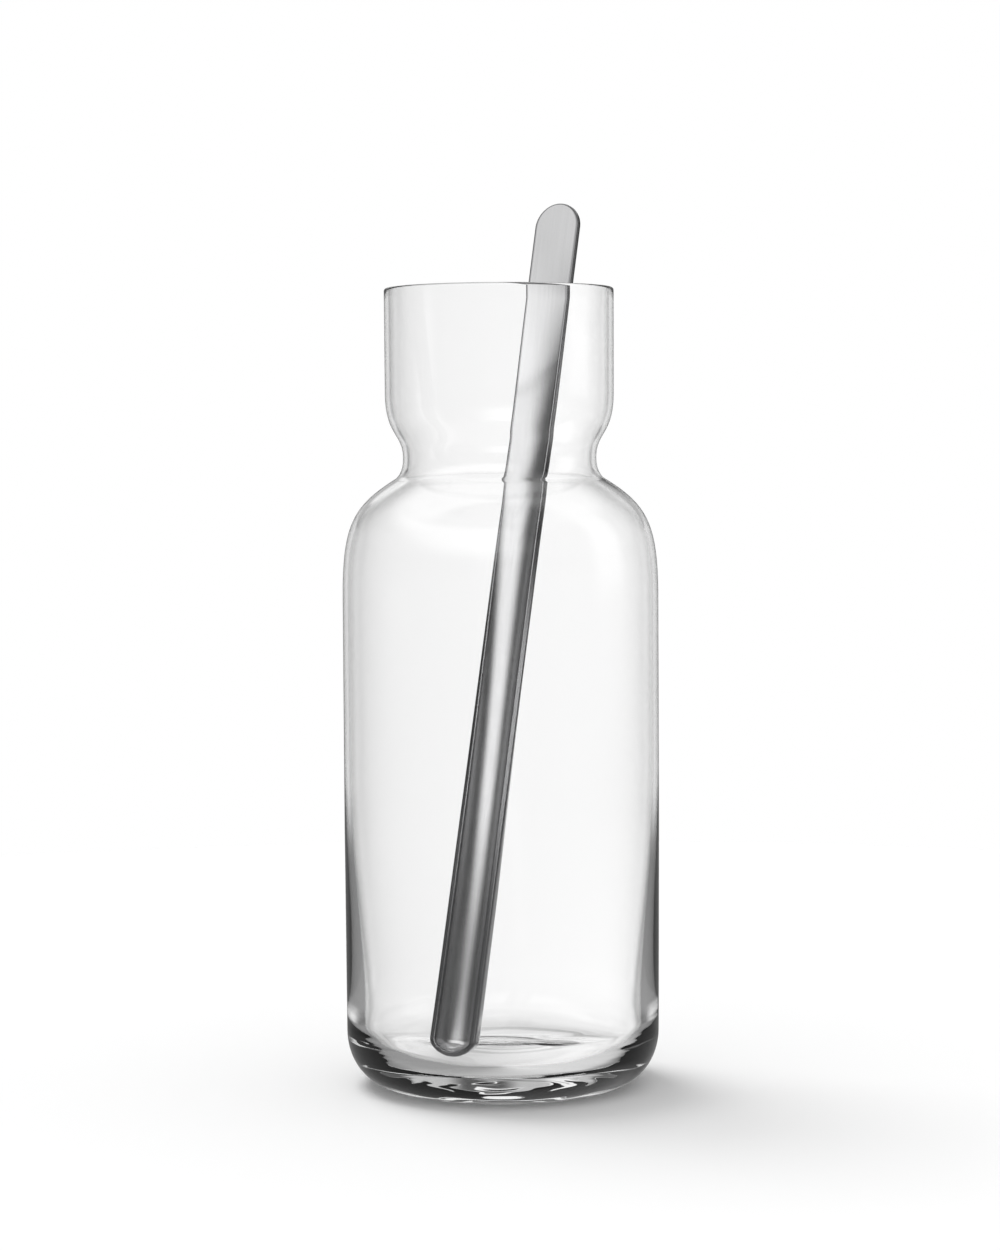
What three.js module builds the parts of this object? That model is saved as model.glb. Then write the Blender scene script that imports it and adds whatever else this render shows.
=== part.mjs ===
// A glass carafe with a cup-shaped mouth and a pinched waist, and the long steel mixing spoon in it.
// Millimetres, +Z up. The origin is the middle of the carafe's foot, on the table. The camera side is -Y.

import * as THREE from 'three';
import { mergeVertices } from 'three/addons/utils/BufferGeometryUtils.js';

// Carafe: heights above the table, and outer radii.
const carafeHeight = 248;
const rimRadius = 35.6;
const cupRadius = 35.5;
const cupBottomHeight = 215.8;
const waistRadius = 30;
const waistHeight = 195.4;
const notchRadius = 32.1;
const notchHeight = 189.3;
const bodyRadius = 49.1;
const shoulderStartHeight = 152.2;
const taperStartHeight = 80;
const bodyFootRadius = 48.8;

// Carafe: how far each curve keeps the direction in which it leaves its end points.
const shoulderLowerPull = 23;
const shoulderUpperPull = 15.9;
const shoulderSlope = THREE.MathUtils.degToRad(31.7);
const notchPull = 2.2;
const waistUpperPull = 8;
const cupLowerPull = 13.5;

// Carafe: foot, with a flat ring that touches the table and a shallow hollow that rises smoothly inside it.
const footCornerReach = 14.8;
const footRingWidth = 5;
const footRingOuterRadius = bodyFootRadius - footCornerReach;
const footRingInnerRadius = footRingOuterRadius - footRingWidth;
const footCornerHeight = 17.3;
const footCornerOutPull = 8.2;
const footCornerDownPull = 10.3;
const footHollowDepth = 4;
const footHollowFlatShare = 0.4;
const footRingFlatShare = 0.4;

// Carafe: glass thickness. The wall is thin from the rim down, thickens low on the body and ends in a
// heavy base.
const wallThickness = 1.7;
const baseThickness = 10;
const thickeningStartHeight = 100;
const thickeningPull = 34;
const innerCornerTopHeight = 21.5;
const innerCornerTopWall = 5.3;
const innerCornerTopRadius = bodyFootRadius - innerCornerTopWall;
const innerCornerPull = 16;
const innerCornerReach = 8.5;
const innerFloorRadius = innerCornerTopRadius - innerCornerReach;

// Spoon: one strip of steel, flat and round-ended at the top, pressed step by step into a half-round scoop.
const spoonLength = 275.2;
const spoonWidth = 15.8;
const spoonThickness = 1.9;
const spoonEdgeFillet = 0.5;
const spoonFlatTopLength = 11;
const scoopFullHeight = 47.5;
const scoopEaseShare = 1.5;
const handleEaseShare = 1.5;
const scoopFullAngle = Math.PI / 2;
const flatStripAngle = 1e-4;

// Spoon: where it rests. Its round end stands on the glass floor, its flat back leans on the rim opposite.
const spoonPlaneTurn = THREE.MathUtils.degToRad(30.5);
const spoonFootInset = 5.4;
const spoonFootReach = innerFloorRadius - spoonFootInset;
const restGap = 0.3;

// Fineness of the facets.
const carafeSides = 64;
const footCornerSteps = 9;
const footHollowSteps = 6;
const shoulderSteps = 9;
const notchSteps = 2;
const waistSteps = 8;
const rimSteps = 4;
const thickeningSteps = 5;
const innerCornerSteps = 7;
const scoopArcSteps = 12;
const spoonFilletSteps = 2;
const spoonEndSteps = 8;
const spoonShaftSteps = 30;
const mergeTolerance = 1e-4;

// Outline of the outside, from the middle of the foot up to where the rim starts to round over.
function carafeUnderside() {
  const hollow = new THREE.CubicBezierCurve(
    new THREE.Vector2(0, footHollowDepth),
    new THREE.Vector2(footRingInnerRadius * footHollowFlatShare, footHollowDepth),
    new THREE.Vector2(footRingInnerRadius * (1 - footRingFlatShare), 0),
    new THREE.Vector2(footRingInnerRadius, 0),
  );
  const corner = new THREE.CubicBezierCurve(
    new THREE.Vector2(footRingOuterRadius, 0),
    new THREE.Vector2(footRingOuterRadius + footCornerOutPull, 0),
    new THREE.Vector2(bodyFootRadius, footCornerHeight - footCornerDownPull),
    new THREE.Vector2(bodyFootRadius, footCornerHeight),
  );
  return [
    ...hollow.getPoints(footHollowSteps),
    ...corner.getPoints(footCornerSteps),
    new THREE.Vector2(bodyRadius, taperStartHeight),
  ];
}

function carafeUpperOutside() {
  const shoulder = new THREE.CubicBezierCurve(
    new THREE.Vector2(bodyRadius, shoulderStartHeight),
    new THREE.Vector2(bodyRadius, shoulderStartHeight + shoulderLowerPull),
    new THREE.Vector2(
      notchRadius + shoulderUpperPull * Math.cos(shoulderSlope),
      notchHeight - shoulderUpperPull * Math.sin(shoulderSlope),
    ),
    new THREE.Vector2(notchRadius, notchHeight),
  );
  const notch = new THREE.QuadraticBezierCurve(
    new THREE.Vector2(notchRadius, notchHeight),
    new THREE.Vector2(waistRadius, notchHeight + notchPull),
    new THREE.Vector2(waistRadius, waistHeight),
  );
  const waist = new THREE.CubicBezierCurve(
    new THREE.Vector2(waistRadius, waistHeight),
    new THREE.Vector2(waistRadius, waistHeight + waistUpperPull),
    new THREE.Vector2(cupRadius, cupBottomHeight - cupLowerPull),
    new THREE.Vector2(cupRadius, cupBottomHeight),
  );
  return [
    ...shoulder.getPoints(shoulderSteps),
    ...notch.getPoints(notchSteps).slice(1),
    ...waist.getPoints(waistSteps).slice(1),
    new THREE.Vector2(rimRadius, carafeHeight - wallThickness / 2),
  ];
}

// The inside of the upper body: each outline point moved in by the wall, square to the outline.
function movedInside(outline, wall) {
  return outline.map((point, i) => {
    const before = outline[Math.max(i - 1, 0)];
    const after = outline[Math.min(i + 1, outline.length - 1)];
    const along = after.clone().sub(before).normalize();
    return new THREE.Vector2(point.x - along.y * wall, point.y + along.x * wall);
  });
}

function rimRounding() {
  const middleRadius = rimRadius - wallThickness / 2;
  const middleHeight = carafeHeight - wallThickness / 2;
  const rounding = new THREE.EllipseCurve(
    middleRadius,
    middleHeight,
    wallThickness / 2,
    wallThickness / 2,
    0,
    Math.PI,
  );
  return rounding.getPoints(rimSteps).slice(1, -1);
}

// The inside of the lower body, from the thin wall down to the middle of the glass floor.
function carafeLowerInside() {
  const cornerTop = new THREE.Vector2(innerCornerTopRadius, innerCornerTopHeight);
  const thickening = new THREE.CubicBezierCurve(
    new THREE.Vector2(bodyRadius - wallThickness, thickeningStartHeight),
    new THREE.Vector2(bodyRadius - wallThickness, thickeningStartHeight - thickeningPull),
    new THREE.Vector2(cornerTop.x, cornerTop.y + innerCornerPull),
    cornerTop,
  );
  const corner = new THREE.EllipseCurve(
    innerFloorRadius,
    innerCornerTopHeight,
    innerCornerReach,
    innerCornerTopHeight - baseThickness,
    0,
    -Math.PI / 2,
    true,
  );
  return [
    ...thickening.getPoints(thickeningSteps),
    ...corner.getPoints(innerCornerSteps).slice(1),
    new THREE.Vector2(0, baseThickness),
  ];
}

function makeCarafe() {
  const upperOutside = carafeUpperOutside();
  const upperInside = movedInside(upperOutside, wallThickness).reverse();
  upperInside[0].set(rimRadius - wallThickness, carafeHeight - wallThickness / 2);
  const profile = [
    ...carafeUnderside(),
    ...upperOutside,
    ...rimRounding(),
    ...upperInside,
    ...carafeLowerInside(),
  ];
  const geometry = new THREE.LatheGeometry(profile, carafeSides);
  geometry.rotateX(Math.PI / 2);
  const material = new THREE.MeshStandardMaterial({
    color: 0xf1f4f4,
    roughness: 0.03,
    metalness: 0,
    transparent: true,
    opacity: 0.3,
  });
  const carafe = new THREE.Mesh(geometry, material);
  carafe.name = 'glass_carafe';
  return carafe;
}

// The spoon's own axes: X across, Y from the open face to the back, Z up from the scoop's end to the
// handle's end.
const halfWidth = spoonWidth / 2;
const halfThickness = spoonThickness / 2;
const edgeFlat = halfThickness - spoonEdgeFillet;

// Half the angle that the section turns through at a height along the spoon: none in the handle,
// 90 degrees in the scoop.
function bendAngle(height) {
  const flatStart = spoonLength - spoonFlatTopLength;
  const share = THREE.MathUtils.clamp((height - scoopFullHeight) / (flatStart - scoopFullHeight), 0, 1);
  return Math.max(scoopFullAngle * (1 - share ** scoopEaseShare) ** handleEaseShare, flatStripAngle);
}

// One closed section: round the back, over one edge, along the open face and over the other edge.
// endTurn is 90 degrees along the shaft, and falls to 0 as the section runs out at a round end.
function spoonSection(height, endTurn, endDirection) {
  const bend = bendAngle(height);
  const fullReach = halfWidth - spoonEdgeFillet - edgeFlat * Math.sin(bend);
  const reach = fullReach * Math.sin(endTurn);
  const edgeDepth = spoonEdgeFillet + edgeFlat * Math.cos(bend);
  const centreHeight = endDirection < 0 ? halfWidth : spoonLength - halfWidth;
  const endHeight = centreHeight + endDirection * fullReach * Math.cos(endTurn);
  const sectionHeight = endDirection === 0 ? height : endHeight;
  const endTilt = Math.sin(bend) * Math.cos(endTurn);
  const section = [];

  // A point of the strip's middle layer, at a share of -1 to 1 across, moved off along the strip's normal.
  function stripPoint(share, off) {
    const angle = share * bend;
    const radius = reach / Math.sin(bend);
    const normal = new THREE.Vector3(
      Math.sin(angle) * Math.sin(endTurn),
      Math.cos(angle) * Math.sqrt(1 - endTilt ** 2),
      endDirection * endTilt,
    );
    const middle = new THREE.Vector3(
      radius * Math.sin(angle),
      edgeDepth + radius * (Math.cos(angle) - Math.cos(bend)),
      sectionHeight,
    );
    return { middle, normal: normal.normalize(), point: middle.clone().addScaledVector(normal, off) };
  }

  // The strip's cut edge: two small fillets with a flat between them, square to the strip.
  function addEdge(side) {
    const { middle, normal } = stripPoint(side, 0);
    const outward = new THREE.Vector3(side * Math.sin(endTurn), 0, endDirection * Math.cos(endTurn));
    const towardOpenFace = new THREE.Vector3(0, -Math.sin(bend), 0);
    const over = outward.multiplyScalar(Math.cos(bend)).add(towardOpenFace).normalize();
    const turns = [];
    for (let i = 0; i <= spoonFilletSteps; i += 1) turns.push((Math.PI / 2) * (i / spoonFilletSteps));
    const back = turns.map((turn) => middle.clone()
      .addScaledVector(normal, edgeFlat + spoonEdgeFillet * Math.cos(turn))
      .addScaledVector(over, spoonEdgeFillet * Math.sin(turn)));
    const front = turns.map((turn) => middle.clone()
      .addScaledVector(normal, -edgeFlat - spoonEdgeFillet * Math.cos(turn))
      .addScaledVector(over, spoonEdgeFillet * Math.sin(turn)));
    const edge = [...back, ...front.reverse()];
    section.push(...(side > 0 ? edge : edge.reverse()));
  }

  for (let i = 1; i < scoopArcSteps; i += 1) {
    section.push(stripPoint(-1 + (2 * i) / scoopArcSteps, halfThickness).point);
  }
  addEdge(1);
  for (let i = 1; i < scoopArcSteps; i += 1) {
    section.push(stripPoint(1 - (2 * i) / scoopArcSteps, -halfThickness).point);
  }
  addEdge(-1);
  return section;
}

function spoonSections() {
  const sections = [];
  for (let i = 0; i < spoonEndSteps; i += 1) {
    sections.push(spoonSection(halfWidth, (Math.PI / 2) * (i / spoonEndSteps), -1));
  }
  for (let i = 0; i <= spoonShaftSteps; i += 1) {
    const height = THREE.MathUtils.lerp(halfWidth, spoonLength - halfWidth, i / spoonShaftSteps);
    sections.push(spoonSection(height, Math.PI / 2, 0));
  }
  for (let i = spoonEndSteps - 1; i >= 0; i -= 1) {
    sections.push(spoonSection(spoonLength - halfWidth, (Math.PI / 2) * (i / spoonEndSteps), 1));
  }
  return sections;
}

// Joins neighbouring sections with triangles. At the two ends the sections close up, so flattened
// triangles are left out.
function joinSections(sections) {
  const around = sections[0].length;
  const rough = new THREE.BufferGeometry().setFromPoints(sections.flat());
  const faces = [];
  for (let i = 0; i + 1 < sections.length; i += 1) {
    for (let j = 0; j < around; j += 1) {
      const a = i * around + j;
      const b = i * around + ((j + 1) % around);
      faces.push(a, a + around, b, b, a + around, b + around);
    }
  }
  rough.setIndex(faces);
  const merged = mergeVertices(rough, mergeTolerance);
  const index = [...merged.getIndex().array];
  const kept = [];
  for (let i = 0; i < index.length; i += 3) {
    const [a, b, c] = index.slice(i, i + 3);
    if (a !== b && b !== c && c !== a) kept.push(a, b, c);
  }
  merged.setIndex(kept);
  merged.computeVertexNormals();
  return merged;
}

// The scoop's round end rests on the floor on one side, and the flat back touches the rim's inner edge
// opposite.
function spoonLean() {
  const footHeight = baseThickness + restGap + halfWidth;
  const rimClearRadius = rimRadius - wallThickness - restGap;
  const rimReach = Math.sqrt(rimClearRadius ** 2 - halfWidth ** 2);
  const rimHeight = carafeHeight - wallThickness / 2;
  const run = rimReach + spoonFootReach;
  const rise = rimHeight - footHeight;
  const lean = Math.atan2(run, rise) - Math.asin((spoonThickness - spoonEdgeFillet) / Math.hypot(run, rise));
  return { lean, footHeight };
}

function makeSpoon() {
  const material = new THREE.MeshStandardMaterial({ color: 0xb9bbbd, roughness: 0.22, metalness: 1 });
  const spoon = new THREE.Mesh(joinSections(spoonSections()), material);
  spoon.name = 'mixing_spoon';
  spoon.position.set(0, -spoonEdgeFillet, -halfWidth);
  const { lean, footHeight } = spoonLean();
  const leaning = new THREE.Group();
  leaning.add(spoon);
  leaning.rotation.x = -lean;
  leaning.position.set(0, -spoonFootReach, footHeight);
  const turned = new THREE.Group();
  turned.add(leaning);
  turned.rotation.z = -spoonPlaneTurn;
  return turned;
}

const carafeWithSpoon = new THREE.Group();
carafeWithSpoon.add(makeCarafe(), makeSpoon());

export default carafeWithSpoon;
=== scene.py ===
import math

import bmesh
import bpy
from mathutils import Matrix, Vector


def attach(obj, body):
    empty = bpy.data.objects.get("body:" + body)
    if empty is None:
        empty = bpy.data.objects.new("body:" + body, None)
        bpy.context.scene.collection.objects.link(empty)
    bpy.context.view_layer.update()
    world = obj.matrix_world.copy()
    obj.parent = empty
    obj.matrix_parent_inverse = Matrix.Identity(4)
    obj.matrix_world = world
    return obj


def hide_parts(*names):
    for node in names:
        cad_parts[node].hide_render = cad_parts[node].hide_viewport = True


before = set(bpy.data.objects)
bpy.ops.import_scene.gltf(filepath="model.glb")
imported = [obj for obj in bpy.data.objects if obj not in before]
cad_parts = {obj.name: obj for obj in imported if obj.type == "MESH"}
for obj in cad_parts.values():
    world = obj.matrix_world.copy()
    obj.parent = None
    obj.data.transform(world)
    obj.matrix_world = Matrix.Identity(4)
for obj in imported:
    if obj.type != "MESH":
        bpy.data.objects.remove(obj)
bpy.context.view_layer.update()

MM = 0.001
DEG = math.pi / 180

# Sizes of the carafe, as in the part's source, in metres
carafe_height = 248 * MM
rim_radius = 35.6 * MM
cup_radius = 35.5 * MM
cup_bottom_height = 215.8 * MM
waist_radius = 30 * MM
waist_height = 195.4 * MM
notch_radius = 32.1 * MM
notch_height = 189.3 * MM
body_radius = 49.1 * MM
shoulder_start_height = 152.2 * MM
taper_start_height = 80 * MM
body_foot_radius = 48.8 * MM

shoulder_lower_pull = 23 * MM
shoulder_upper_pull = 15.9 * MM
shoulder_slope = 31.7 * DEG
notch_pull = 2.2 * MM
waist_upper_pull = 8 * MM
cup_lower_pull = 13.5 * MM

foot_ring_outer = 34 * MM
foot_ring_inner = 29 * MM
foot_corner_height = 17.3 * MM
foot_corner_out_pull = 8.2 * MM
foot_corner_down_pull = 10.3 * MM
foot_hollow_depth = 4 * MM
foot_hollow_flat_share = 0.4
foot_ring_flat_share = 0.4

wall = 1.7 * MM
base_thickness = 10 * MM
thickening_start_height = 100 * MM
thickening_pull = 34 * MM
inner_corner_top_height = 21.5 * MM
inner_corner_top_wall = 5.3 * MM
inner_corner_pull = 16 * MM
inner_floor_radius = 35 * MM

# Sizes of the spoon, as in the part's source, in metres
spoon_length = 275.2 * MM
spoon_width = 15.8 * MM
spoon_thickness = 1.9 * MM
spoon_fillet = 0.5 * MM
spoon_flat_top = 11 * MM
scoop_full_height = 47.5 * MM
scoop_ease_share = 1.5
handle_ease_share = 1.5
scoop_full_angle = 90 * DEG
flat_strip_angle = 1e-4
spoon_plane_turn = 30.5 * DEG
spoon_foot_reach = 29.6 * MM
rest_gap = 0.3 * MM

half_width = spoon_width / 2
half_thick = spoon_thickness / 2
edge_flat = half_thick - spoon_fillet

# Ripples on the glass floor, which only this script has
floor_ripple = 0.05 * MM
floor_ripple_pitch = 6.5 * MM
floor_ripple_reach = 33 * MM

# How finely both are drawn
lathe_sides = 192
curve_steps = 32
straight_steps = 8
shoulder_steps = 40
notch_steps = 10
rounding_steps = 12
inner_side_steps = 6
thickening_steps = 28
corner_steps = 24
floor_steps = 64
arc_steps = 28
fillet_steps = 4
end_steps = 20
shaft_steps = 110
merge_distance = 0.002 * MM
least_edge = 0.0001 * MM

# The studio
floor_radius = 620 * MM
floor_sides = 96
floor_tint = 0.9
floor_roughness = 0.7
floor_shine = 0.1
key_angle = 28 * DEG
key_strength = 1.5
key_direction = (0.68, -0.76, -1.75)

# The camera, fitted to the photograph. The photograph's height, the focal length and aside_pixels are in
# the photograph's own pixels, the sensor is in millimetres, distances are in metres and angles in radians.
photo_height = 1250
focal_length = 3172.4
aside_pixels = -0.66
sensor_width = 36
camera_distance = 0.98719
camera_height = 0.19647
camera_aside = aside_pixels / focal_length * camera_distance
camera_pitch = 0.05366
camera_roll = 0.00594
nearest_seen = 0.05
farthest_seen = 50


# The carafe
def quadratic(a, b, c, steps=curve_steps):
    out = []
    for i in range(steps + 1):
        t = i / steps
        out.append(tuple((1 - t) ** 2 * p + 2 * t * (1 - t) * q + t * t * r for p, q, r in zip(a, b, c)))
    return out


def cubic(a, b, c, d, steps=curve_steps):
    out = []
    for i in range(steps + 1):
        t = i / steps
        u = 1 - t
        out.append(tuple(u ** 3 * p + 3 * t * u * u * q + 3 * t * t * u * r + t ** 3 * s
                         for p, q, r, s in zip(a, b, c, d)))
    return out


def straight(a, b, steps=straight_steps):
    return [tuple(p + (q - p) * i / steps for p, q in zip(a, b)) for i in range(steps + 1)]


def moved_inside(line, gap):
    """The inner side of a wall as thick as gap. The line is its outer side, from the bottom up."""
    out = []
    for i, (r, z) in enumerate(line):
        r0, z0 = line[max(i - 1, 0)]
        r1, z1 = line[min(i + 1, len(line) - 1)]
        length = math.hypot(r1 - r0, z1 - z0)
        out.append((r - (z1 - z0) / length * gap, z + (r1 - r0) / length * gap))
    return out


def outer_foot():
    """The foot's shallow hollow, then its ring and the rounded outer corner."""
    hollow = cubic((0, foot_hollow_depth), (foot_ring_inner * foot_hollow_flat_share, foot_hollow_depth),
                   (foot_ring_inner * (1 - foot_ring_flat_share), 0), (foot_ring_inner, 0),
                   steps=corner_steps)
    corner = cubic((foot_ring_outer, 0), (foot_ring_outer + foot_corner_out_pull, 0),
                   (body_foot_radius, foot_corner_height - foot_corner_down_pull),
                   (body_foot_radius, foot_corner_height))
    return hollow + corner


def outer_body():
    lower = straight((body_foot_radius, foot_corner_height), (body_radius, taper_start_height))
    upper = straight((body_radius, taper_start_height), (body_radius, shoulder_start_height))
    return lower + upper[1:]


def outer_top():
    """The shoulder, the notch under the waist, the waist and the cup, up to the rim."""
    shoulder = cubic((body_radius, shoulder_start_height),
                     (body_radius, shoulder_start_height + shoulder_lower_pull),
                     (notch_radius + shoulder_upper_pull * math.cos(shoulder_slope),
                      notch_height - shoulder_upper_pull * math.sin(shoulder_slope)),
                     (notch_radius, notch_height), steps=shoulder_steps)
    notch = quadratic((notch_radius, notch_height), (waist_radius, notch_height + notch_pull),
                      (waist_radius, waist_height), steps=notch_steps)
    waist = cubic((waist_radius, waist_height), (waist_radius, waist_height + waist_upper_pull),
                  (cup_radius, cup_bottom_height - cup_lower_pull), (cup_radius, cup_bottom_height))
    cup = straight((cup_radius, cup_bottom_height), (rim_radius, carafe_height - wall / 2))
    return shoulder + notch[1:] + waist[1:] + cup[1:]


def rim_rounding():
    half_wall = wall / 2
    turns = [math.pi * i / rounding_steps for i in range(1, rounding_steps)]
    return [(rim_radius - half_wall * (1 - math.cos(t)), carafe_height - half_wall * (1 - math.sin(t)))
            for t in turns]


def inner_base(start):
    """From the thin wall down to the middle of the glass floor, which has faint ripples."""
    corner_top = (body_foot_radius - inner_corner_top_wall, inner_corner_top_height)
    sides = straight(start, (body_radius - wall, thickening_start_height), steps=inner_side_steps)
    thickening = cubic((body_radius - wall, thickening_start_height),
                       (body_radius - wall, thickening_start_height - thickening_pull),
                       (corner_top[0], corner_top[1] + inner_corner_pull), corner_top,
                       steps=thickening_steps)
    corner_wide = corner_top[0] - inner_floor_radius
    corner_high = inner_corner_top_height - base_thickness
    corner_turns = [math.pi / 2 * i / corner_steps for i in range(1, corner_steps + 1)]
    corner = [(inner_floor_radius + corner_wide * math.cos(t),
               inner_corner_top_height - corner_high * math.sin(t)) for t in corner_turns]
    floor = []
    for i in range(1, floor_steps + 1):
        r = inner_floor_radius * (1 - i / floor_steps)
        fade = math.sin(math.pi * min(r / floor_ripple_reach, 1)) ** 2
        ripple = floor_ripple * fade * math.cos(2 * math.pi * r / floor_ripple_pitch)
        floor.append((r, base_thickness - ripple))
    return sides[1:] + thickening[1:] + corner + floor


def carafe_profile():
    top = outer_top()
    inside = moved_inside(top, wall)[::-1]
    inside[0] = (rim_radius - wall, carafe_height - wall / 2)
    return outer_foot() + outer_body()[1:] + top[1:] + rim_rounding() + inside + inner_base(inside[-1])


def lathe(name, profile, sides):
    """A closed solid of revolution. The profile starts and ends on the axis."""
    verts = [(0, 0, profile[0][1])]
    rings = []
    for r, z in profile[1:-1]:
        rings.append(len(verts))
        for k in range(sides):
            a = 2 * math.pi * k / sides
            verts.append((r * math.cos(a), r * math.sin(a), z))
    verts.append((0, 0, profile[-1][1]))
    last = len(verts) - 1
    faces = []
    for k in range(sides):
        n = (k + 1) % sides
        faces.append((0, rings[0] + n, rings[0] + k))
        for a, b in zip(rings, rings[1:]):
            faces.append((a + k, a + n, b + n, b + k))
        faces.append((rings[-1] + k, rings[-1] + n, last))
    mesh = bpy.data.meshes.new(name)
    mesh.from_pydata(verts, [], faces)
    mesh.update()
    mesh.polygons.foreach_set("use_smooth", [True] * len(mesh.polygons))
    return add_object(name, mesh)


def add_object(name, data):
    obj = bpy.data.objects.new(name, data)
    bpy.context.scene.collection.objects.link(obj)
    return obj


# The spoon
def bend_angle(height):
    """Half the angle that the strip's section bends round: a right angle in the scoop, none at the top."""
    flat_start = spoon_length - spoon_flat_top
    share = min(max((height - scoop_full_height) / (flat_start - scoop_full_height), 0), 1)
    bend_share = (1 - share ** scoop_ease_share) ** handle_ease_share
    return max(scoop_full_angle * bend_share, flat_strip_angle)


def spoon_section(height, end_turn, end_way):
    """One closed section of the pressed strip, as points with their normals: round the back, over one edge,
    along the open face and over the other edge. At a round end it narrows to nothing as end_turn falls to 0.

    end_way is -1 in the scoop's round end, 1 in the handle's and 0 between them."""
    bend = bend_angle(height)
    full_reach = half_width - spoon_fillet - edge_flat * math.sin(bend)
    reach = full_reach * math.sin(end_turn)
    edge_depth = spoon_fillet + edge_flat * math.cos(bend)
    centre = half_width if end_way < 0 else spoon_length - half_width
    z = height if end_way == 0 else centre + end_way * full_reach * math.cos(end_turn)
    radius = reach / math.sin(bend)
    end_tilt = math.sin(bend) * math.cos(end_turn)
    section = []

    def strip(share):
        angle = share * bend
        normal = Vector((math.sin(angle) * math.sin(end_turn),
                         math.cos(angle) * math.sqrt(1 - end_tilt ** 2),
                         end_way * end_tilt)).normalized()
        middle = Vector((radius * math.sin(angle),
                         edge_depth + radius * (math.cos(angle) - math.cos(bend)), z))
        return middle, normal

    def add_edge(side):
        middle, normal = strip(side)
        outward = Vector((side * math.sin(end_turn), 0, end_way * math.cos(end_turn)))
        over = (outward * math.cos(bend) + Vector((0, -math.sin(bend), 0))).normalized()
        edge = []
        for face in (1, -1):
            turns = [math.pi / 2 * i / fillet_steps for i in range(fillet_steps + 1)]
            for t in turns[::face]:
                facing = normal * face * math.cos(t) + over * math.sin(t)
                edge.append((middle + normal * face * edge_flat + facing * spoon_fillet, facing))
        section.extend(edge if side > 0 else edge[::-1])

    for i in range(1, arc_steps):
        middle, normal = strip(-1 + 2 * i / arc_steps)
        section.append((middle + normal * half_thick, normal))
    add_edge(1)
    for i in range(1, arc_steps):
        middle, normal = strip(1 - 2 * i / arc_steps)
        section.append((middle - normal * half_thick, -normal))
    add_edge(-1)
    return section


def spoon_sections():
    """All the sections from the scoop's round end up to the handle's."""
    quarter = [math.pi / 2 * i / end_steps for i in range(end_steps)]
    shaft = [half_width + (spoon_length - spoon_width) * i / shaft_steps for i in range(shaft_steps + 1)]
    scoop_end = [spoon_section(half_width, t, -1) for t in quarter]
    straight_part = [spoon_section(height, math.pi / 2, 0) for height in shaft]
    handle_end = [spoon_section(spoon_length - half_width, t, 1) for t in reversed(quarter)]
    return scoop_end + straight_part + handle_end


def spoon_place():
    """Stands the spoon on the glass floor and leans its back against the rim's inner edge."""
    foot_height = base_thickness + rest_gap + half_width
    rim_clear = rim_radius - wall - rest_gap
    rim_reach = math.sqrt(rim_clear ** 2 - half_width ** 2)
    run = rim_reach + spoon_foot_reach
    rise = carafe_height - wall / 2 - foot_height
    lean = math.atan2(run, rise) - math.asin((spoon_thickness - spoon_fillet) / math.hypot(run, rise))
    return (Matrix.Rotation(-spoon_plane_turn, 4, "Z")
            @ Matrix.Translation((0, -spoon_foot_reach, foot_height))
            @ Matrix.Rotation(-lean, 4, "X")
            @ Matrix.Translation((0, -spoon_fillet, -half_width)))


def add_vectors(mesh, name, vectors):
    attribute = mesh.attributes.new(name, "FLOAT_VECTOR", "POINT")
    attribute.data.foreach_set("vector", [number for vector in vectors for number in vector])


def make_spoon():
    sections = spoon_sections()
    place = spoon_place()
    around = len(sections[0])
    points = [point for section in sections for point, normal in section]
    normals = [place.to_3x3() @ normal for section in sections for point, normal in section]
    faces = []
    for i in range(len(sections) - 1):
        for j in range(around):
            a = i * around + j
            b = i * around + (j + 1) % around
            faces.append((a, a + around, b + around, b))
    mesh = bpy.data.meshes.new("spoon_look")
    mesh.from_pydata([place @ p for p in points], [], faces)
    edge_points = 2 * (fillet_steps + 1)
    on_edge = ([0.0] * (arc_steps - 1) + [1.0] * edge_points) * 2 * len(sections)
    mesh.attributes.new("cut_edge", "FLOAT", "POINT").data.foreach_set("value", on_edge)
    add_vectors(mesh, "strip", points)
    add_vectors(mesh, "facing", normals)
    bm = bmesh.new()
    bm.from_mesh(mesh)
    bmesh.ops.remove_doubles(bm, verts=bm.verts, dist=merge_distance)
    bmesh.ops.dissolve_degenerate(bm, edges=bm.edges, dist=least_edge)
    bmesh.ops.recalc_face_normals(bm, faces=bm.faces)
    bm.to_mesh(mesh)
    bm.free()
    mesh.polygons.foreach_set("use_smooth", [True] * len(mesh.polygons))
    mesh.normals_split_custom_set_from_vertices([item.vector for item in mesh.attributes["facing"].data])
    mesh.attributes.remove(mesh.attributes["facing"])
    return add_object("spoon_look", mesh)


# Nodes that the materials and the studio share
def new_material(name):
    material = bpy.data.materials.new(name)
    material.use_nodes = True
    tree = material.node_tree
    return material, tree, tree.nodes["Principled BSDF"]


def connect(tree, value, socket):
    """Sets a socket to a number, or joins a node's output to it."""
    if isinstance(value, (int, float)):
        socket.default_value = value
    else:
        tree.links.new(value, socket)


def math_node(tree, kind, *values):
    node = tree.nodes.new("ShaderNodeMath")
    node.operation = kind
    for socket, value in zip(node.inputs, values):
        connect(tree, value, socket)
    return node.outputs[0]


def product(tree, first, *others):
    for other in others:
        first = math_node(tree, "MULTIPLY", first, other)
    return first


def distance(tree, across, upward):
    squares = [product(tree, way, way) for way in (across, upward)]
    return math_node(tree, "SQRT", math_node(tree, "ADD", *squares))


def map_range(tree, value, ends, results, kind="LINEAR"):
    """The first result at the first end and below it, the second at the second end and above."""
    node = tree.nodes.new("ShaderNodeMapRange")
    node.interpolation_type = kind
    for name, number in zip(("From Min", "From Max", "To Min", "To Max"), ends + results):
        node.inputs[name].default_value = number
    tree.links.new(value, node.inputs["Value"])
    return node.outputs["Result"]


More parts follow.
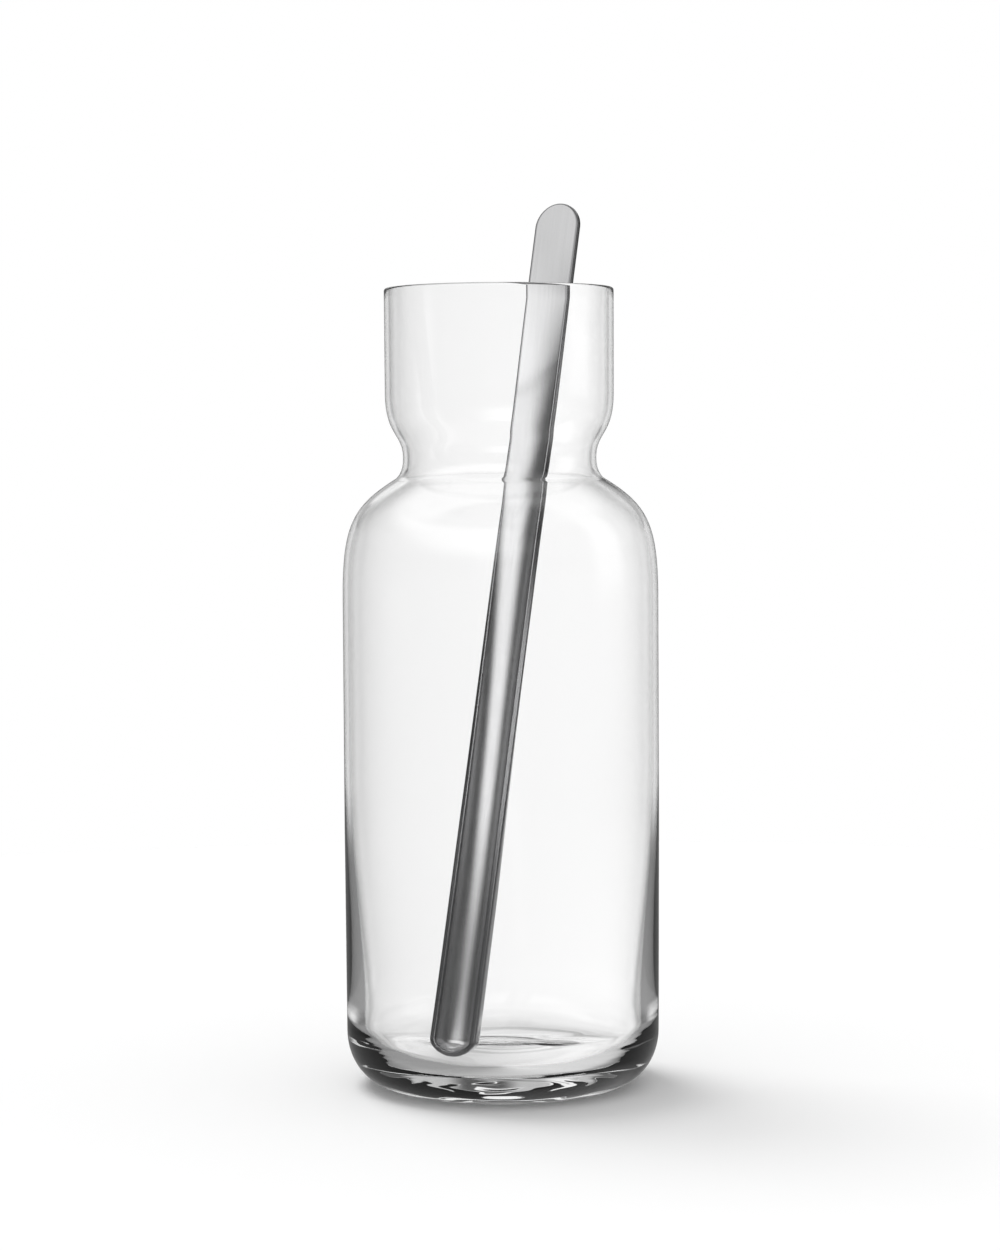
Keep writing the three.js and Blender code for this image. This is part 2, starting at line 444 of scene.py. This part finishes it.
def noise(tree, place, scale, detail):
    node = tree.nodes.new("ShaderNodeTexNoise")
    node.inputs["Scale"].default_value = scale
    node.inputs["Detail"].default_value = detail
    tree.links.new(place, node.inputs["Vector"])
    return node.outputs["Fac"]


def bump(tree, height, strength, depth):
    node = tree.nodes.new("ShaderNodeBump")
    node.inputs["Strength"].default_value = strength
    node.inputs["Distance"].default_value = depth
    tree.links.new(height, node.inputs["Height"])
    return node


def mix_colours(tree, share, low, high):
    """low where share is 0, high where it is 1. Each is a grey with a trace of blue, or a node's output."""
    node = tree.nodes.new("ShaderNodeMix")
    node.data_type = "RGBA"
    tree.links.new(share, node.inputs[0])
    for socket, colour in zip(node.inputs[6:8], (low, high)):
        if isinstance(colour, float):
            socket.default_value = (colour, colour, colour + 0.005, 1)
        else:
            tree.links.new(colour, socket)
    return node.outputs[2]


def make_clear(tree, shader, share):
    """Lets light go straight through the surface, as much as share says."""
    clear = tree.nodes.new("ShaderNodeBsdfTransparent")
    either = tree.nodes.new("ShaderNodeMixShader")
    tree.links.new(share, either.inputs[0])
    tree.links.new(shader.outputs[0], either.inputs[1])
    tree.links.new(clear.outputs[0], either.inputs[2])
    tree.links.new(either.outputs[0], tree.nodes["Material Output"].inputs["Surface"])


# Materials
glass_tint = 0.996
glass_ior = 1.5
wave_scale = 28
wave_strength = 0.03
wave_depth = 0.6 * MM
flow_scale_along = 30
flow_scale_upward = 190
flow_scale_outward = 120
flow_strength = 0.22
flow_depth = 0.9 * MM
flow_full_height = 16 * MM
flow_end_height = 30 * MM
dark_foot_height = 12 * MM
clear_wall_height = 60 * MM
clear_wall_share = 0.85

steel_brushed = 0.95
quarter_turn = 0.25
steel_dark = 0.67
steel_light = 0.77
# Colour of the cut edges: painted shade, darker to stand for the dark room they mirror
painted_edge_shade = 0.3
smooth_steel = 0.14
rough_steel = 0.18
streak_scale = (2600, 2600, 14)
patch_scale = (120, 120, 60)
brushing_scale = (9000, 9000, 50)
brushing_strength = 0.2
brushing_depth = 0.06 * MM
noise_low = 0.3
noise_high = 0.7


def glass_material():
    """Clear blown glass: faintly wavy, with flow lines round the thick base. The lamp's light goes through
    the walls to the floor, and the base holds it back."""
    material, tree, shader = new_material("clear_glass_look")
    shader.inputs["Base Color"].default_value = (glass_tint, glass_tint, glass_tint, 1)
    shader.inputs["Transmission Weight"].default_value = 1
    shader.inputs["IOR"].default_value = glass_ior
    shader.inputs["Roughness"].default_value = 0
    place = tree.nodes.new("ShaderNodeTexCoord").outputs["Object"]
    waves = bump(tree, noise(tree, place, wave_scale, detail=1.5), wave_strength, wave_depth)

    split = tree.nodes.new("ShaderNodeSeparateXYZ")
    tree.links.new(place, split.inputs[0])
    x, y, z = split.outputs
    upward = product(tree, z, flow_scale_upward)
    outward = product(tree, distance(tree, x, y), flow_scale_outward)
    flow_place = tree.nodes.new("ShaderNodeCombineXYZ")
    connect(tree, product(tree, x, flow_scale_along), flow_place.inputs[0])
    connect(tree, product(tree, y, flow_scale_along), flow_place.inputs[1])
    connect(tree, math_node(tree, "ADD", upward, outward), flow_place.inputs[2])
    in_base = map_range(tree, z, (flow_full_height, flow_end_height), (1, 0), "SMOOTHSTEP")
    flow_lines = product(tree, noise(tree, flow_place.outputs[0], scale=1, detail=1), in_base)
    flow = bump(tree, flow_lines, flow_strength, flow_depth)
    tree.links.new(waves.outputs["Normal"], flow.inputs["Normal"])
    tree.links.new(flow.outputs["Normal"], shader.inputs["Normal"])

    path = tree.nodes.new("ShaderNodeLightPath")
    in_wall = map_range(tree, z, (dark_foot_height, clear_wall_height), (0, clear_wall_share))
    make_clear(tree, shader, product(tree, path.outputs["Is Shadow Ray"], in_wall))
    return material


def steel_material():
    """Polished stainless steel, brushed along the strip, so that what it mirrors is spread across the strip.
    Its cut edges are coloured darker, as painted shade for the dark surroundings they mirror."""
    material, tree, shader = new_material("polished_steel_look")
    shader.inputs["Metallic"].default_value = 1
    shader.inputs["Anisotropic"].default_value = steel_brushed
    shader.inputs["Anisotropic Rotation"].default_value = quarter_turn
    lengthwise = tree.nodes.new("ShaderNodeVectorTransform")
    lengthwise.vector_type = "VECTOR"
    lengthwise.convert_from = "OBJECT"
    lengthwise.convert_to = "WORLD"
    lengthwise.inputs[0].default_value = spoon_place().to_3x3() @ Vector((0, 0, 1))
    tree.links.new(lengthwise.outputs[0], shader.inputs["Tangent"])

    def attribute(name):
        node = tree.nodes.new("ShaderNodeAttribute")
        node.attribute_name = name
        return node.outputs

    place = attribute("strip")["Vector"]
    on_edge = attribute("cut_edge")["Fac"]

    def stretched_noise(scale, detail):
        stretch = tree.nodes.new("ShaderNodeVectorMath")
        stretch.operation = "MULTIPLY"
        stretch.inputs[1].default_value = scale
        tree.links.new(place, stretch.inputs[0])
        return noise(tree, stretch.outputs[0], scale=1, detail=detail)

    patches = stretched_noise(patch_scale, detail=3)
    roughness = map_range(tree, patches, (noise_low, noise_high), (smooth_steel, rough_steel))
    tree.links.new(roughness, shader.inputs["Roughness"])
    streaks = mix_colours(tree, stretched_noise(streak_scale, detail=2), steel_dark, steel_light)
    # The cut edges take a darker colour here: painted shade for the dark surroundings they mirror
    tree.links.new(mix_colours(tree, on_edge, streaks, painted_edge_shade), shader.inputs["Base Color"])
    brushing = bump(tree, stretched_noise(brushing_scale, detail=1), brushing_strength, brushing_depth)
    tree.links.new(brushing.outputs["Normal"], shader.inputs["Normal"])
    return material


glass = lathe("carafe_look", carafe_profile(), lathe_sides)
glass.data.materials.append(glass_material())
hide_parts("glass_carafe")
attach(glass, "carafe")

spoon = make_spoon()
spoon.data.materials.append(steel_material())
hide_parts("mixing_spoon")
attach(spoon, "spoon")


# Floor, light and camera
def seen_in_object(tree):
    """The light's path, and 1 for what shows through the glass or is mirrored in the glass and the steel."""
    path = tree.nodes.new("ShaderNodeLightPath")
    either = math_node(tree, "MAXIMUM", path.outputs["Is Glossy Ray"], path.outputs["Is Transmission Ray"])
    return path, either


def make_floor():
    """A pale floor that takes the object's shadow. In the glass and the steel the studio stands for it."""
    turns = [2 * math.pi * k / floor_sides for k in range(floor_sides)]
    ring = [(floor_radius * math.cos(t), floor_radius * math.sin(t), 0) for t in turns]
    mesh = bpy.data.meshes.new("floor")
    mesh.from_pydata(ring, [], [tuple(range(floor_sides))])
    material, tree, shader = new_material("floor_look")
    shader.inputs["Base Color"].default_value = (floor_tint, floor_tint, floor_tint, 1)
    shader.inputs["Roughness"].default_value = floor_roughness
    shader.inputs["Specular IOR Level"].default_value = floor_shine
    path, in_object = seen_in_object(tree)
    make_clear(tree, shader, in_object)
    mesh.materials.append(material)
    add_object("floor", mesh)


def make_world():
    """A studio round the object: what lights it, what shows through the glass, and what the surfaces mirror.

    Directions are given in degrees: turn from straight behind the object, positive to the camera's right,
    from_front from the camera's side, positive to its left, and rise from the horizon up. A name that ends
    in light is a brightness, where 1 is white. One that ends in edge is the pair of directions between which
    something fades, and one that ends in span is the four directions that the function between takes."""
    world = bpy.data.worlds.new("studio")
    bpy.context.scene.world = world
    world.use_nodes = True
    tree = world.node_tree
    tree.nodes.clear()

    def mix(share, low, high):
        """low where share is 0, high where it is 1."""
        node = tree.nodes.new("ShaderNodeMix")
        node.data_type = "FLOAT"
        for socket, value in zip((node.inputs[0], node.inputs[2], node.inputs[3]), (share, low, high)):
            connect(tree, value, socket)
        return node.outputs[0]

    def soft_step(value, low, high):
        """0 below low, 1 above high. With low above high it falls instead."""
        ends = (min(low, high) * DEG, max(low, high) * DEG)
        return map_range(tree, value, ends, (0, 1) if low < high else (1, 0), "SMOOTHSTEP")

    def between(value, start, full_start, full_end, end):
        """Rises from start to full_start and falls from full_end to end."""
        return product(tree, soft_step(value, start, full_start), soft_step(value, end, full_end))

    def away_from(value, middle):
        return math_node(tree, "ABSOLUTE", math_node(tree, "SUBTRACT", value, middle * DEG))

    coords = tree.nodes.new("ShaderNodeTexCoord")
    split = tree.nodes.new("ShaderNodeSeparateXYZ")
    tree.links.new(coords.outputs["Generated"], split.inputs[0])
    x, y, z = split.outputs
    turn = math_node(tree, "ARCTAN2", x, y)
    from_front = math_node(tree, "ARCTAN2", product(tree, x, -1), product(tree, y, -1))
    rise = math_node(tree, "ARCSINE", z)

    def oval(turn_at, rise_at, half_wide, half_high):
        """1 within three quarters of an oval round a direction, and 0 from 1.15 times the oval outward."""
        across = math_node(tree, "DIVIDE", math_node(tree, "SUBTRACT", turn, turn_at * DEG), half_wide)
        upward = math_node(tree, "DIVIDE", math_node(tree, "SUBTRACT", rise, rise_at * DEG), half_high)
        return soft_step(distance(tree, across, upward), 1.15, 0.75)

    # What shows through the glass: the same bright panel from each of eight sides, and below it the table.
    # A panel is brighter on its right.
    half_panel = 22.5
    panel_middle_edge = (-14, 14)
    panel_side_edge = (half_panel, 17)
    panel_top_edge = (10, 24)
    panel_bottom_edge = (-18, -32)
    table_middle_edge = (-12, 14)
    beside_panel_light = 0.7
    above_panel_light = 0.5
    from_panel = math_node(tree, "PINGPONG", turn, half_panel * DEG)
    across_panel = math_node(tree, "WRAP", turn, half_panel * DEG, -half_panel * DEG)
    panel_light = mix(soft_step(across_panel, *panel_middle_edge), 0.96, 1.18)
    table_light = mix(soft_step(turn, *table_middle_edge), 0.6, 1.0)
    seen_through = mix(soft_step(from_panel, *panel_side_edge), beside_panel_light, panel_light)
    seen_through = mix(soft_step(rise, *panel_top_edge), seen_through, above_panel_light)
    seen_through = mix(soft_step(rise, *panel_bottom_edge), seen_through, table_light)

    # What the surfaces mirror starts with a dim room. Behind the object is a bright backdrop, which the outer
    # surfaces see dimmed. Above it is dimmer light with a gap in its middle, and two small lamps.
    room_edge = (0, 12)
    backdrop_middle = 1
    backdrop_side_edge = (40, 24)
    backdrop_top_edge = (10, 7)
    above_side_edge = (34, 26)
    above_span = (8, 10, 22, 34)
    gap_left_edge = (1, -5)
    gap_right_edge = (9, 16)
    small_lamps = ((3.5, 24.5, 9, 8.5), (-17, 22, 7, 8))
    above_light = 0.5
    small_lamp_light = 0.95
    path, in_object = seen_in_object(tree)
    outside = math_node(tree, "LESS_THAN", path.outputs["Transmission Depth"], 0.5)
    room_light = mix(soft_step(rise, *room_edge), 0.16, 0.08)
    backdrop_light = mix(outside, 1.0, 0.2)
    off_backdrop = away_from(turn, backdrop_middle)
    backdrop = product(tree, soft_step(off_backdrop, *backdrop_side_edge),
                       soft_step(rise, *backdrop_top_edge))
    beside_gap = math_node(tree, "MAXIMUM", soft_step(turn, *gap_left_edge),
                           soft_step(turn, *gap_right_edge))
    above_backdrop = product(tree, soft_step(off_backdrop, *above_side_edge), beside_gap,
                             between(rise, *above_span))
    mirrored = mix(backdrop, room_light, backdrop_light)
    mirrored = mix(above_backdrop, mirrored, above_light)
    for small_lamp in small_lamps:
        mirrored = mix(oval(*small_lamp), mirrored, small_lamp_light)

    # Then the ceiling, the far part of the table and the near part, each darker on the camera's side.
    camera_side_edge = (95, 55)
    ceiling_edge = (32, 52)
    far_table_edge = (-9, -14)
    near_table_edge = (-24, -40)
    near_table_middle_edge = (-30, 30)
    camera_side = soft_step(away_from(from_front, 0), *camera_side_edge)
    ceiling_light = mix(camera_side, 0.95, 0.3)
    far_table_light = mix(camera_side, 0.33, 0.25)
    near_table_light = mix(soft_step(turn, *near_table_middle_edge), 0.35, 0.75)
    near_table_light = mix(camera_side, near_table_light, 0.3)
    mirrored = mix(soft_step(rise, *ceiling_edge), mirrored, ceiling_light)
    mirrored = mix(soft_step(rise, *far_table_edge), mirrored, far_table_light)
    mirrored = mix(soft_step(rise, *near_table_edge), mirrored, near_table_light)

    # Then a large soft box above and left of the camera, its left side leaning outward, and a panel on the
    # right. The box is dimmer in what is mirrored a second time.
    box_right_edge = (-38, 4)
    box_left_edge = (97, 28)
    box_span = (8, 22, 36, 48)
    box_lean = 2.3
    box_lean_start = 20
    side_panel_turn_span = (72, 84, 98, 112)
    side_panel_rise_span = (-6, 4, 40, 50)
    side_panel_light = 0.8
    mirrored_twice = math_node(tree, "GREATER_THAN", path.outputs["Glossy Depth"], 1.5)
    box_light = mix(mirrored_twice, mix(outside, 1.36, 0.99), 0.45)
    lean = product(tree, math_node(tree, "SUBTRACT", rise, box_lean_start * DEG), box_lean)
    from_left_side = math_node(tree, "SUBTRACT", from_front, lean)
    soft_box = product(tree, soft_step(from_front, *box_right_edge),
                       soft_step(from_left_side, *box_left_edge), between(rise, *box_span))
    side_panel = product(tree, between(turn, *side_panel_turn_span), between(rise, *side_panel_rise_span))
    mirrored = mix(soft_box, mirrored, box_light)
    mirrored = mix(side_panel, mirrored, side_panel_light)

    # Light that has met no mirror comes through the glass. What lights the object is brightest from above,
    # and the camera sees plain white.
    even_edge = (0, 80)
    white_light = 1.0
    after_mirror = math_node(tree, "GREATER_THAN", path.outputs["Glossy Depth"], 0.5)
    even_light = mix(soft_step(rise, *even_edge), 0.45, 1.0)
    strength = mix(in_object, even_light, mix(after_mirror, seen_through, mirrored))
    strength = mix(path.outputs["Is Camera Ray"], strength, white_light)
    background = tree.nodes.new("ShaderNodeBackground")
    background.inputs["Color"].default_value = (1, 1, 1, 1)
    tree.links.new(strength, background.inputs["Strength"])
    output = tree.nodes.new("ShaderNodeOutputWorld")
    tree.links.new(background.outputs[0], output.inputs["Surface"])


def make_key():
    """A broad soft lamp from the left and behind. It throws the faint shadow to the right and the front."""
    data = bpy.data.lights.new("key", "SUN")
    data.angle = key_angle
    data.energy = key_strength
    key = add_object("key", data)
    key.rotation_mode = "QUATERNION"
    key.rotation_quaternion = Vector(key_direction).to_track_quat("-Z", "Y")
    key.visible_glossy = False
    key.visible_transmission = False


def make_camera():
    data = bpy.data.cameras.new("camera")
    data.sensor_fit = "AUTO"
    data.sensor_width = sensor_width
    data.lens = sensor_width * focal_length / photo_height
    data.clip_start = nearest_seen
    data.clip_end = farthest_seen
    camera = add_object("camera", data)
    camera.location = (camera_aside, -camera_distance, camera_height)
    camera.rotation_mode = "QUATERNION"
    camera.rotation_quaternion = (Matrix.Rotation(math.pi / 2 - camera_pitch, 4, "X")
                                  @ Matrix.Rotation(-camera_roll, 4, "Z")).to_quaternion()
    bpy.context.scene.camera = camera


make_floor()
make_world()
make_key()
make_camera()
bpy.context.scene.view_settings.view_transform = "Standard"
